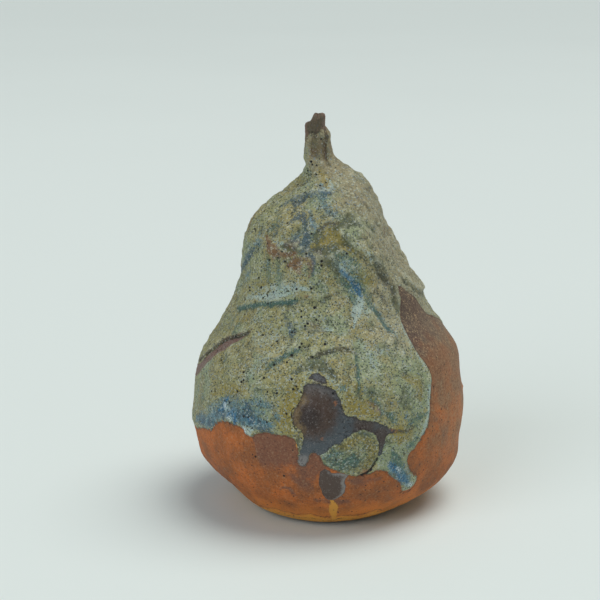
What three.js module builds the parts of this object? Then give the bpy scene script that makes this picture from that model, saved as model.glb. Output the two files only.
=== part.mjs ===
// A hand-built stoneware pear: one fired piece with its stem, standing on a small flat foot.
// Millimetres, +Z up. The origin is on the ground, under the middle of the outline box.
// Azimuths are in degrees round the pear: 0 is the front (-Y) and 90 is the right side (+X).
import * as THREE from "three";
import { mergeVertices } from "three/addons/utils/BufferGeometryUtils.js";

// Driving dimensions
const overallHeight = 144;
const footRadius = 22;
const bellyRadius = 50;
const bellyHeight = 40;
const neckRadius = 31.8;
const neckHeight = 84;
const shoulderRadius = 20.4;
const shoulderHeight = 112;
const stemRadius = 4.6;
const stemHeight = 129;
const stemTipRadius = 2.4;

// Fineness of the surface
const columns = 84;
const footRings = 2;
const bellyRings = 12;
const upperRings = 30;
const weldDistance = 0.001;

// Each corner of the outline above the belly, from the belly up, as [radius, height].
const upperCorners = [
  [bellyRadius, bellyHeight],
  [bellyRadius - 3.4, bellyHeight + 18],
  [bellyRadius - 13, bellyHeight + 33],
  [neckRadius, neckHeight],
  [neckRadius - 3.4, neckHeight + 14],
  [shoulderRadius, shoulderHeight],
  [shoulderRadius - 7.8, shoulderHeight + 8.5],
  [stemRadius + 1.8, stemHeight - 4],
  [stemRadius, stemHeight + 2],
  [stemRadius - 0.6, stemHeight + 10],
  [stemTipRadius, overallHeight - 1],
];

// The curve from the foot's rim to the belly leaves both ends along these two handles.
const footHandle = [bellyRadius - 5, 2.5];
const bellyHandle = [bellyRadius, bellyHeight - 20];

// The stem stands off the body's middle line, towards the left, from stemRoot up.
const stemShift = -3.8;
const stemRoot = 119;
const stemStraight = 128;

// The stem's end is broken off: its left half is lower than its right half.
const breakDrop = 3;
const breakStart = 138;
const breakWidth = 2;

// The hand marks grow in above the flat foot, and fade out below the stem.
const markStart = 10;
const markFade = 112;
const markEnd = 124;

// Swells (depth above 0) and hollows (below 0) that the maker's hands left in the wall.
// reach is the half angle in degrees and rise the half height in mm of each one.
const handMarks = [
  { azimuth: -84, height: 104, reach: 46, rise: 11, depth: 4.4 }, // left shoulder stands out
  { azimuth: 86, height: 102, reach: 50, rise: 14, depth: -5.4 }, // right shoulder falls away
  { azimuth: 82, height: 82, reach: 28, rise: 5, depth: 1.2 }, // lip where the right side was folded over
  { azimuth: 26, height: 101, reach: 18, rise: 12, depth: 2 }, // thick fold down the front
  { azimuth: 4, height: 88, reach: 18, rise: 8, depth: -1.2 }, // hollow under the fold
  { azimuth: -44, height: 88, reach: 26, rise: 9, depth: -1 }, // left of the neck
  { azimuth: -82, height: 64, reach: 42, rise: 9, depth: -1.9 }, // left of the belly, pressed in
  { azimuth: 88, height: 58, reach: 24, rise: 8, depth: 1 }, // corner of the right belly
  { azimuth: 80, height: 16, reach: 26, rise: 9, depth: 2.8 }, // paddled corner low on the right
  { azimuth: -70, height: 15, reach: 24, rise: 9, depth: -1.2 }, // paddled flat low on the left
  { azimuth: 30, height: 40, reach: 26, rise: 14, depth: -1 }, // flat on the front of the belly
  { azimuth: 142, height: 100, reach: 40, rise: 20, depth: 1.2 }, // back shoulder
  { azimuth: -150, height: 72, reach: 34, rise: 16, depth: -1.4 }, // dent behind the belly
  { azimuth: 180, height: 44, reach: 34, rise: 18, depth: -1.2 }, // flat on the back
];

// Slow unevenness all round: each wave has its count of humps, its height per turn in mm and its size.
const waves = [
  { humps: 3, pitch: 240, size: 0.5 },
  { humps: 5, pitch: -190, size: 0.3 },
];

const smoothstep = THREE.MathUtils.smoothstep;

const toPoint = ([radius, height]) => new THREE.Vector2(radius, height);

// Half of the pear's outline, from the middle of the foot to the tip of the stem.
function outline() {
  const footRim = new THREE.Vector2(footRadius, 0);
  const foot = new THREE.LineCurve(new THREE.Vector2(0, 0), footRim);
  const belly = new THREE.CubicBezierCurve(
    footRim,
    toPoint(footHandle),
    toPoint(bellyHandle),
    toPoint(upperCorners[0]),
  );
  const upper = new THREE.SplineCurve(upperCorners.map(toPoint));
  return [
    ...foot.getSpacedPoints(footRings),
    ...belly.getSpacedPoints(bellyRings).slice(1),
    ...upper.getSpacedPoints(upperRings).slice(1),
    new THREE.Vector2(0, overallHeight),
  ];
}

// How far a point is off the round outline, outwards, at an azimuth and a height.
function handMarkAt(azimuth, height) {
  let offset = 0;
  for (const mark of handMarks) {
    const turn = THREE.MathUtils.euclideanModulo(azimuth - mark.azimuth + 180, 360) - 180;
    const across = turn / mark.reach;
    const along = (height - mark.height) / mark.rise;
    offset += mark.depth * Math.exp(-across * across - along * along);
  }
  for (const wave of waves) {
    const phase = THREE.MathUtils.degToRad(azimuth * wave.humps) + (2 * Math.PI * height) / wave.pitch;
    offset += wave.size * Math.sin(phase);
  }
  return offset;
}

// Moves the lathe's round surface to the hand-built one. The foot stays flat at height 0.
function workByHand(geometry) {
  const position = geometry.getAttribute("position");
  const point = new THREE.Vector3();
  for (let i = 0; i < position.count; i += 1) {
    point.fromBufferAttribute(position, i);
    const radius = Math.hypot(point.x, point.y);
    const height = point.z;
    const azimuth = THREE.MathUtils.radToDeg(Math.atan2(point.x, -point.y));
    const marked = smoothstep(height, 0, markStart) * (1 - smoothstep(height, markFade, markEnd));
    const scale = radius > 0 ? 1 + (marked * handMarkAt(azimuth, height)) / radius : 1;
    const shift = stemShift * smoothstep(height, stemRoot, stemStraight);
    const broken = smoothstep(height, breakStart, overallHeight) * smoothstep(-point.x, 0, breakWidth);
    position.setXYZ(i, point.x * scale + shift, point.y * scale, height - breakDrop * broken);
  }
}

// Centres the outline box over the origin. The ground stays at height 0.
function centre(geometry) {
  geometry.computeBoundingBox();
  const middle = geometry.boundingBox.getCenter(new THREE.Vector3());
  geometry.translate(-middle.x, -middle.y, 0);
}

function pear() {
  const turned = new THREE.LatheGeometry(outline(), columns);
  turned.rotateX(Math.PI / 2);
  turned.deleteAttribute("normal");
  turned.deleteAttribute("uv");
  const geometry = mergeVertices(turned, weldDistance);
  workByHand(geometry);
  centre(geometry);
  geometry.computeVertexNormals();
  const stoneware = new THREE.MeshStandardMaterial({ color: 0x85806a, roughness: 0.6, metalness: 0 });
  const mesh = new THREE.Mesh(geometry, stoneware);
  mesh.name = "pear";
  return mesh;
}

const group = new THREE.Group();
group.add(pear());

export default group;
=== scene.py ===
import math

import bpy
import numpy as np
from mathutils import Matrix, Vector, noise
from mathutils.bvhtree import BVHTree


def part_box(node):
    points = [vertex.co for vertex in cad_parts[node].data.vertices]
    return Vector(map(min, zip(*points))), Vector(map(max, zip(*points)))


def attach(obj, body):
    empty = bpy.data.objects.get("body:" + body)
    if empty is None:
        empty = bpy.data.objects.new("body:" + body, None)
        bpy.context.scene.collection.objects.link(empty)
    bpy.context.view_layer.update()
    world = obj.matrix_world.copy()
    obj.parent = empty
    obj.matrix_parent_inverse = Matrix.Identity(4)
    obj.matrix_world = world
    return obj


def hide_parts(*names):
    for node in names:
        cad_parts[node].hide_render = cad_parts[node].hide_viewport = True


# A hand-built stoneware pear with a run ash glaze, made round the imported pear.
# Lengths are in mm until the mesh is finished. A place on the pear is (azimuth, height):
# azimuth in degrees, 0 at the front (-Y) and 90 at the right (+X), height in mm above the table.

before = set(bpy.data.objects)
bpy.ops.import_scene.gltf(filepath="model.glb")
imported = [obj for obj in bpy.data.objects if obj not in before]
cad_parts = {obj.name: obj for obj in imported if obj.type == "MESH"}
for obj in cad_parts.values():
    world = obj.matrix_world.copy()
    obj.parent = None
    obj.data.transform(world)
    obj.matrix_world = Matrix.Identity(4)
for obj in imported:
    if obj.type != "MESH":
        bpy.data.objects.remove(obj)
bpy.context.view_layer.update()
mm = 0.001

viewpoint = {
    "elevation": 16,  # degrees above the table
    "distance": 0.6,
    "aimHeight": 0.062,
    "lens": 97.2,
    "shiftAcross": -0.0467,
    "shiftUp": 0.0583,
}

table = {
    "size": 8.0,
    "drop": 0.0001,  # the pear's foot stays just clear of it
    "tone": "#dfe8e6",
    "farTone": "#d3dcda",  # painted shade: it darkens a little towards the back
    "roughness": 0.55,
}

light = {
    "sky": "#dfe9ec",
    "skyStrength": 0.3,
    "suns": {  # from is the direction that the light comes from; spread in degrees softens the shadows
        "overhead": {"from": (0.35, 0.1, 1.0), "strength": 2.05, "spread": 42, "tone": "#fffcf6"},
        "window": {"from": (-0.7, -0.75, 0.55), "strength": 1.05, "spread": 45, "tone": "#f2f7ff"},
    },
}


def tone(code):
    parts = [int(code[start : start + 2], 16) / 255 for start in (1, 3, 5)]
    linear = [part / 12.92 if part <= 0.04045 else ((part + 0.055) / 1.055) ** 2.4 for part in parts]
    return (*linear, 1.0)


def smoothStep(low, high, value):
    share = np.clip((value - low) / (high - low), 0, 1)
    return share * share * (3 - 2 * share)


class Wire:  # a value that a shader works out; sums on wires add Math nodes
    def __init__(self, tree, socket=None):
        self.tree = tree
        self.socket = socket

    def node(self, kind, settings=None, sockets=None, out=0):
        made = self.tree.nodes.new(kind)
        for name, setting in (settings or {}).items():
            setattr(made, name, setting)
        for name, value in (sockets or {}).items():
            if isinstance(value, Wire):
                self.tree.links.new(value.socket, made.inputs[name])
            else:
                made.inputs[name].default_value = value
        return Wire(self.tree, made.outputs[out])

    def maths(self, operation, first, second=0.0):
        return self.node("ShaderNodeMath", {"operation": operation}, {0: first, 1: second})

    def __add__(self, other):
        return self.maths("ADD", self, other)

    def __radd__(self, other):
        return self.maths("ADD", other, self)

    def __sub__(self, other):
        return self.maths("SUBTRACT", self, other)

    def __rsub__(self, other):
        return self.maths("SUBTRACT", other, self)

    def __mul__(self, other):
        return self.maths("MULTIPLY", self, other)

    def __rmul__(self, other):
        return self.maths("MULTIPLY", other, self)

    def __truediv__(self, other):
        return self.maths("DIVIDE", self, other)

    def __rtruediv__(self, other):
        return self.maths("DIVIDE", other, self)

    def least(self, other):
        return self.maths("MINIMUM", self, other)

    def most(self, other):
        return self.maths("MAXIMUM", self, other)

    def rise(self, low, high):  # 0 at low, 1 at high, smooth between
        return self.node(
            "ShaderNodeMapRange",
            {"interpolation_type": "SMOOTHSTEP"},
            {"Value": self, "From Min": low, "From Max": high},
        )

    def within(self, width):  # 1 where the value is 0, falling to 0 at width on both sides
        return 1 - self.maths("ABSOLUTE", self).rise(0, width)

    def blend(self, share, first, second):  # two colours, first where the share is 0
        return self.node("ShaderNodeMix", {"data_type": "RGBA"}, {0: share, 6: first, 7: second}, out=2)


def placeCamera():
    tilt = math.radians(viewpoint["elevation"])
    lensData = bpy.data.cameras.new("camera")
    lensData.lens = viewpoint["lens"]
    lensData.shift_x = viewpoint["shiftAcross"]
    lensData.shift_y = viewpoint["shiftUp"]
    camera = bpy.data.objects.new("camera", lensData)
    back = Vector((0, -math.cos(tilt), math.sin(tilt)))
    camera.location = Vector((0, 0, viewpoint["aimHeight"])) + viewpoint["distance"] * back
    camera.rotation_euler = (math.radians(90) - tilt, 0, 0)
    bpy.context.scene.collection.objects.link(camera)
    bpy.context.scene.camera = camera
    bpy.context.scene.view_settings.view_transform = "Standard"
    print("camera placed")


def layTable():
    half = table["size"] / 2
    drop = -table["drop"]
    sheet = bpy.data.meshes.new("table")
    corners = [(-half, -half, drop), (half, -half, drop), (half, half, drop), (-half, half, drop)]
    sheet.from_pydata(corners, [], [(0, 1, 2, 3)])
    top = bpy.data.objects.new("table", sheet)
    bpy.context.scene.collection.objects.link(top)
    finish = bpy.data.materials.new("paleTable")
    finish.use_nodes = True
    surface = finish.node_tree.nodes["Principled BSDF"]
    start = Wire(finish.node_tree)
    place = start.node("ShaderNodeTexCoord", out="Object")
    cloud = start.node("ShaderNodeTexNoise", {}, {"Vector": place, "Scale": 2.5, "Detail": 3.0})
    back = start.node("ShaderNodeSeparateXYZ", {}, {0: place}, out="Y")
    far = (back + (cloud - 0.5) * 0.6).rise(0.3, 2.2)
    shaded = start.blend(far, tone(table["tone"]), tone(table["farTone"]))
    finish.node_tree.links.new(shaded.socket, surface.inputs["Base Color"])
    surface.inputs["Roughness"].default_value = table["roughness"]
    sheet.materials.append(finish)
    print("table laid")


def hangLights():
    world = bpy.data.worlds.new("studio")
    world.use_nodes = True
    sky = world.node_tree.nodes["Background"]
    sky.inputs["Color"].default_value = tone(light["sky"])
    sky.inputs["Strength"].default_value = light["skyStrength"]
    bpy.context.scene.world = world
    for name, sun in light["suns"].items():
        glow = bpy.data.lights.new(name, "SUN")
        glow.energy = sun["strength"]
        glow.angle = math.radians(sun["spread"])
        glow.color = tone(sun["tone"])[:3]
        lamp = bpy.data.objects.new(name, glow)
        lamp.rotation_euler = (-Vector(sun["from"])).to_track_quat("-Z", "Y").to_euler()
        bpy.context.scene.collection.objects.link(lamp)
    print("lights hung")


placeCamera()
layTable()
hangLights()

pear = {
    "rows": 268,  # rings of the fine surface, from the foot to the stem's end
    "columns": 364,
    "crowding": 0.25,  # more columns at the front than at the back
    "underFan": 24,  # height that the underside is felt from
    "tipFan": 7,  # depth below the stem's end that the end is felt from
    "stemRoot": 119,  # the stem leans off the middle line from here
    "stemStraight": 128,
    "evening": 10,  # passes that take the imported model's facets away
    "feelers": (80, 300, 40),  # tries up the underside, the side and the end, before the rings are spaced
    "stemFineness": 0.7,  # closer rings on the stem
    "footCoarseness": 0.7,  # wider rings on the flat foot
}

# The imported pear, felt from inside: one ray for each point of the fine surface.
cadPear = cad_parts["pear"]
cadTree = BVHTree.FromPolygons(
    [corner.co / mm for corner in cadPear.data.vertices],
    [tuple(side.vertices) for side in cadPear.data.polygons],
)
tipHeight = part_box("pear")[1].z / mm
columnTurns = np.linspace(-math.pi, math.pi, pear["columns"], endpoint=False)
columnAzimuths = np.degrees(columnTurns - pear["crowding"] * np.sin(columnTurns))


def feel(start, direction):
    return np.array(cadTree.ray_cast(Vector(start), Vector(direction))[0])


def stemLean():
    height = tipHeight - 2 * pear["tipFan"]
    left = feel((-90, 0, height), (1, 0, 0))
    right = feel((90, 0, height), (-1, 0, 0))
    return (left[0] + right[0]) / 2


leanAtStem = stemLean()


def heading(azimuth, tilt):
    turn = math.radians(azimuth)
    return (math.cos(tilt) * math.sin(turn), -math.cos(tilt) * math.cos(turn), math.sin(tilt))


def feelAt(stance, azimuth):
    height, tilt = stance
    share = np.clip((height - pear["stemRoot"]) / (pear["stemStraight"] - pear["stemRoot"]), 0, 1)
    return feel((leanAtStem * share, 0, height), heading(azimuth, tilt))


def rowStances():
    low = pear["underFan"]
    high = tipHeight - pear["tipFan"]
    quarter = math.pi / 2
    underside, side, end = pear["feelers"]
    stances = [(low, tilt) for tilt in np.linspace(-quarter, 0, underside)]
    stances += [(height, 0.0) for height in np.linspace(low, high, side)[1:]]
    stances += [(high, tilt) for tilt in np.linspace(0, quarter, end)[1:]]
    run = np.zeros(len(stances))
    for azimuth in (0, 90, 180, 270):
        outline = np.array([feelAt(stance, azimuth) for stance in stances])
        level = outline[1:, 2]
        fineness = 1 + pear["stemFineness"] * smoothStep(124, 132, level)
        fineness -= pear["footCoarseness"] * smoothStep(0.6, 0.1, level)
        run[1:] += np.cumsum(np.linalg.norm(np.diff(outline, axis=0), axis=1) * fineness)
    marks = np.linspace(0, run[-1], pear["rows"] + 2)[1:-1]
    heights = np.interp(marks, run, [height for height, tilt in stances])
    tilts = np.interp(marks, run, [tilt for height, tilt in stances])
    return list(zip(heights, tilts)), stances[0], stances[-1]


def withEnds(grid):
    low, high = (np.broadcast_to(pole, grid[:1].shape) for pole in (footPole, tipPole))
    return np.concatenate([low, grid, high])


stances, footStance, tipStance = rowStances()
skin = np.array([[feelAt(stance, azimuth) for azimuth in columnAzimuths] for stance in stances])
footPole = feelAt(footStance, 0)
tipPole = feelAt(tipStance, 0)
for _ in range(pear["evening"]):
    skin = 0.5 * skin + 0.25 * (np.roll(skin, 1, axis=1) + np.roll(skin, -1, axis=1))
    ringed = withEnds(skin)
    skin = 0.5 * skin + 0.25 * (ringed[:-2] + ringed[2:])

# The stem's end is a broken stub: full width to a ragged top that is lower on its left.
stub = {
    "radius": 4.15,  # lengths in mm, heights above the table
    "radiusRight": 2.25,  # above the step on the right
    "flatness": 0.16,  # how much thinner it is from front to back
    "step": 138.2,
    "top": 143.5,
    "topLeft": 140.6,
    "breakAt": -4.8,  # how far across the stem the top drops, from the pear's middle line
    "ragged": 0.5,
    "squareness": 12,  # how sharply the sides turn into the top
    "settling": 12,  # rounds of working out how far the surface stands off
}


def stubReach(azimuth, tilt):
    turn = math.radians(azimuth)
    floor = tipHeight - pear["tipFan"]
    reach = 4.0
    for _ in range(stub["settling"]):
        height = floor + reach * math.sin(tilt)
        across = leanAtStem + reach * math.cos(tilt) * math.sin(turn)
        narrow = smoothStep(0.0, 0.8, math.sin(turn))
        narrow *= smoothStep(stub["step"] - 1.8, stub["step"] + 2.0, height)
        radius = stub["radius"] + (stub["radiusRight"] - stub["radius"]) * narrow
        radius *= 1 - stub["flatness"] * math.cos(turn) ** 2
        ragged = stub["ragged"] * math.sin(azimuth / 9) * math.sin(azimuth / 23 + 1)
        drop = smoothStep(stub["breakAt"] + 0.5, stub["breakAt"] - 1.5, across)
        top = stub["top"] + ragged + (stub["topLeft"] - stub["top"]) * drop - floor
        side = radius / max(math.cos(tilt), 1e-4)
        lid = top / max(math.sin(tilt), 1e-4)
        sharp = stub["squareness"]
        reach = 0.5 * reach + 0.5 * (side**-sharp + lid**-sharp) ** (-1 / sharp)
    return reach


def snapStem():
    for row, (height, tilt) in enumerate(stances):
        if tilt <= 0:
            continue
        share = float(smoothStep(0, 0.2, tilt))
        for column, azimuth in enumerate(columnAzimuths):
            out = np.array(heading(azimuth, tilt))
            place = np.array([leanAtStem, 0, height]) + stubReach(azimuth, tilt) * out
            skin[row, column] = (1 - share) * skin[row, column] + share * place


snapStem()
tipPole = skin[-1].mean(axis=0)


def outwards(grid):
    across = np.roll(grid, -1, axis=1) - np.roll(grid, 1, axis=1)
    ringed = withEnds(grid)
    along = ringed[2:] - ringed[:-2]
    normal = np.cross(across, along)
    return normal / np.linalg.norm(normal, axis=2, keepdims=True)


# Swells and hollows of the whole figure: azimuth, height, half reach in degrees, half rise and depth in mm.
figure = [
    (-78, 118, 34, 6, -2.0),
    (-84, 101, 38, 9, -1.2),
    (80, 97, 30, 8, -1.9),
    (84, 72, 24, 5, -0.8),
    (84, 125, 24, 3.5, 1.5),
    (82, 36, 34, 11, 1.0),
    (-82, 21, 26, 6, 1.3),
    (-82, 31, 24, 5, 1.2),
    (88, 55, 20, 5, 0.2),
    (-64, 8, 16, 4, -2.0),
    (58, 11, 10, 4, 0.5),
    (-6, 3, 46, 4, 1.9),
    (84, 19, 20, 6, 0.3),
    (-78, 60, 24, 8, -0.9),
    (-68, 123.8, 44, 3.6, -4.0),
    (98, 97, 28, 10, -1.3),
    (-92, 109, 26, 6, 0.6),
    (84, 131, 34, 4.5, 0.45),
    (-80, 121.6, 30, 2.6, -1.4),
    (88, 62.5, 18, 3.4, -0.45),
    (80, 22.5, 18, 5, -0.8),
    (89, 75, 16, 3, -0.7),
]


def shapeFigure():
    shaped = skin.copy()
    out = outwards(skin)
    for azimuth, height, reach, rise, depth in figure:
        across = ((columnAzimuths - azimuth + 180) % 360 - 180) / reach
        along = (skin[..., 2] - height) / rise
        shaped += depth * np.exp(-(across**2) - along**2)[..., None] * out
    shaped[..., 2] = np.maximum(shaped[..., 2], 0)
    shaped[0] = skin[0]
    return shaped


skin = shapeFigure()
heights = skin[..., 2].copy()
azimuths = np.broadcast_to(columnAzimuths, heights.shape)
flatSkin = skin.reshape(-1, 3)
normals = outwards(skin)
flatNormals = normals.reshape(-1, 3)
print("surface felt:", skin.shape)


def onSkin(azimuth, height, grid=skin):
    azimuth = (azimuth + 180) % 360 - 180
    right = int(np.searchsorted(columnAzimuths, azimuth)) % pear["columns"]
    left = right - 1
    gap = (columnAzimuths[right] - columnAzimuths[left]) % 360
    share = ((azimuth - columnAzimuths[left]) % 360) / gap
    ends = [
        [np.interp(height, skin[:, column, 2], grid[:, column, axis]) for axis in range(3)]
        for column in (left, right)
    ]
    return (1 - share) * np.array(ends[0]) + share * np.array(ends[1])


def rounded(path, closed=False, steps=4):
    knots = np.array(path, float)
    if closed:
        ring = np.concatenate([knots[-1:], knots, knots[:2]])
    else:
        ring = np.concatenate([2 * knots[:1] - knots[1:2], knots, 2 * knots[-1:] - knots[-2:-1]])
    points = []
    for a, b, c, d in zip(ring, ring[1:], ring[2:], ring[3:]):
        for t in np.arange(steps) / steps:
            bend = (2 * a - 5 * b + 4 * c - d) * t**2 + (3 * b - a - 3 * c + d) * t**3
            points.append(0.5 * (2 * b + (c - a) * t + bend))
    points.append(ring[-2])
    return np.array(points)


def nearPath(path, reach, closed=False):
    # distance in mm, side (above 0 left of the way the path runs), share of the way along, and the length
    chart = rounded(path, closed)
    places = np.array([onSkin(*point) for point in chart])
    low = places.min(0) - reach
    high = places.max(0) + reach
    close = np.nonzero(((flatSkin > low) & (flatSkin < high)).all(1))[0]
    points = flatSkin[close]
    outside = flatNormals[close]
    best = np.full(len(close), float(reach))
    side = np.zeros(len(close))
    along = np.zeros(len(close))
    for index, (start, end) in enumerate(zip(places, places[1:])):
        run = end - start
        length = max(float(run @ run), 1e-9)
        share = np.clip((points - start) @ run / length, 0, 1)
        gap = points - start - share[:, None] * run
        distance = np.linalg.norm(gap, axis=1)
        nearer = distance < best
        best[nearer] = distance[nearer]
        side[nearer] = np.sign((gap * np.cross(outside, run)).sum(1))[nearer]
        along[nearer] = ((index + share) / (len(places) - 1))[nearer]
    fields = [np.full(len(flatSkin), float(reach)), np.zeros(len(flatSkin)), np.zeros(len(flatSkin))]
    for field, found in zip(fields, (best, side, along)):
        field[close] = found
    length = np.linalg.norm(np.diff(places, axis=0), axis=1).sum()
    return [*(field.reshape(heights.shape) for field in fields), length]


def insideOf(chart):
    inside = np.zeros(heights.shape, bool)
    for (x1, y1), (x2, y2) in zip(chart, np.roll(chart, -1, axis=0)):
        if y1 == y2:
            continue
        crosses = (y1 > heights) != (y2 > heights)
        inside ^= crosses & (azimuths < (x2 - x1) * (heights - y1) / (y2 - y1) + x1)
    return inside


def edgeOf(outline, reach=30, cap=None):
    # signed distance in mm to an outline, above 0 inside it; cap closes an open outline over the top
    closed = cap is None
    distance = nearPath(outline, reach, closed)[0]
    chart = rounded(outline, closed)
    if cap is not None:
        chart = np.concatenate([chart, [(chart[-1][0], cap), (chart[0][0], cap)]])
    return np.where(insideOf(chart), distance, -distance)


def taper(along, length, ends):
    share = min(0.5, ends / length)
    return smoothStep(0, share, along) * smoothStep(0, share, 1 - along)


# The glaze ran down over the bare clay and stopped here.
glazeEdge = [
    (-180, 47), (-172, 48), (-166, 44), (-162, 37), (-158, 30), (-154, 27.5), (-150, 30), (-147, 37),
    (-142, 42), (-134, 44), (-127, 43), (-122, 39), (-117, 37), (-111, 38.5), (-105, 40), (-97, 37),
    (-88, 31.5), (-77, 30), (-68, 32.2), (-59.5, 33.8), (-57, 34.6), (-55, 37), (-50.5, 39), (-46, 40),
    (-41.3, 39.6), (-37.3, 39.1), (-36.2, 37.5), (-33.8, 36.9), (-31, 38.1), (-26.5, 39.3),
    (-19.4, 39.1), (-14.4, 38.6), (-12.8, 36.7), (-12.1, 33.5), (-12.1, 31.6), (-12.4, 29.6),
    (-11.4, 28.1), (-9.6, 28.4), (-8.2, 30.4), (-7.6, 32.5), (-6, 33.8), (-4.1, 33.5), (-2.8, 31.2),
    (-1.4, 29.6), (1.4, 27.8), (4.8, 26.3), (7.7, 25.3), (11, 24.4), (14, 24.5), (18.3, 25.4), (21, 26),
    (24.6, 25), (26.6, 23.2), (28.6, 21.4), (31.3, 19.7), (33, 18.2), (34, 16.3), (36.3, 14.7),
    (39.6, 14.7), (42, 16.6), (41.8, 19.4), (38.2, 21.9), (35.9, 24.7), (34.7, 28), (35.5, 30.1),
    (38.4, 31.6), (41.2, 34.6), (44, 37.2), (45.9, 39.9), (47.1, 42.6), (47.8, 45.3), (49, 49),
    (50.3, 52.7), (51.2, 55), (50.6, 57.8), (48.8, 61.2), (47.5, 63.8), (46.6, 66.5), (46.2, 69.3),
    (45.9, 71.9), (46.1, 74.8), (47.6, 77.6), (49.8, 80.7), (50.4, 83.3), (52.4, 85.2), (58.6, 83),
    (63, 81.5), (69, 78.8), (73, 76), (80, 72), (90, 69), (100, 66), (110, 61), (119, 55), (126, 51),
    (131, 46), (135, 40), (139, 38.5), (143, 42), (150, 47), (157, 49), (164, 47), (170, 43), (175, 44),
    (180, 47),
]

# Where the glaze pooled dark: the main run with its arm, the crescent over it and the drip under it.
slateRuns = {
    "main": [
        (-10.3, 56.8), (-10.5, 55.4), (-11.2, 53.2), (-12.2, 51.1), (-13.6, 49.5), (-14.3, 47.6),
        (-14.5, 45.7), (-14, 43.9), (-12.8, 42.3), (-11, 41.5), (-10, 39.9), (-10.2, 37), (-11, 34.6),
        (-12.1, 31.6), (-12.4, 29.6), (-11.4, 28.1), (-9.6, 28.4), (-8.2, 30.4), (-7.6, 32.5),
        (-6, 33.8), (-4.1, 32.6), (-2.2, 33), (0.6, 35.2), (2.6, 36.8), (4.9, 37), (6.5, 38.4),
        (8.3, 39.6), (10.3, 40.6), (12.3, 41.3), (14.5, 41.3), (16.7, 40.6), (18.8, 39.6),
        (20, 38.5), (20.6, 36), (20.9, 33.5), (20.4, 31.5), (21.9, 32), (22.8, 34.4), (23.6, 36.9),
        (24.5, 38.5), (26.8, 39.3), (28.9, 39.9), (26.2, 41), (24.3, 42.1), (22.8, 42.8), (20, 43.7),
        (17.3, 44.5), (14.5, 45), (11.2, 46), (9, 46.5), (6.8, 47.6), (5.9, 49.9), (5.4, 51.6),
        (4.3, 53.7), (3.1, 55.1), (1.4, 56.4), (-1.9, 57.3), (-5.4, 57.9), (-8.6, 57.9),
    ],
    "crescent": [
        (-8.6, 59.2), (-8.4, 60), (-6.4, 60.8), (-4.2, 60.9), (-2, 60.2), (-0.6, 58.9), (0, 57.7),
        (-2, 57.9), (-4.3, 58.5), (-6.4, 58.8),
    ],
    "drip": [
        (-3.5, 25.4), (-2.6, 26.9), (-0.9, 27.4), (0.3, 26.6), (1.6, 25.9), (4.3, 25.8), (6, 25.8),
        (7.3, 25.3), (8.6, 25.2), (7.8, 24), (7, 22.7), (7.5, 20), (6.9, 17.6), (5.2, 15.8),
        (2.6, 14.6), (-0.3, 14.6), (-2, 16.4), (-2.9, 18.8), (-3.8, 21.1), (-3.8, 23.5),
    ],
}

# The split in the wall on the left, wide at the far side and closing to a point.
split = [
    (-47.5, 69.6), (-54, 67.6), (-60, 66), (-68, 63.3), (-76, 57.8), (-84, 52.6), (-93, 49.4),
    (-94, 46), (-84, 47.6), (-76, 52.6), (-68, 58.8), (-60, 63.1), (-54, 66.2),
]

# The round lobe of glaze under the dark arm, and the patch of clay that the flame darkened.
lobeOutline = [
    (-2.6, 33.4), (1.5, 37), (5, 37), (8.3, 39.4), (13, 41.3), (18, 39.8),
    (20, 36.5), (19.6, 31), (16.5, 26.4), (10, 24.8), (3, 27), (-1.8, 30),
]
flashOutline = [(-30.6, 42), (-31, 31), (-28, 24), (-22, 25), (-12, 20), (-2, 22), (-4, 40)]

glaze = edgeOf(glazeEdge, cap=300)
slate = np.maximum(edgeOf(slateRuns["main"], 12), edgeOf(slateRuns["crescent"], 12))
drip = edgeOf(slateRuns["drip"], 12)
flashPatch = edgeOf(flashOutline, 12)
gash = edgeOf(split, 12)
lobe = edgeOf(lobeOutline, 14)
print("outlines laid on the surface")

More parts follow.
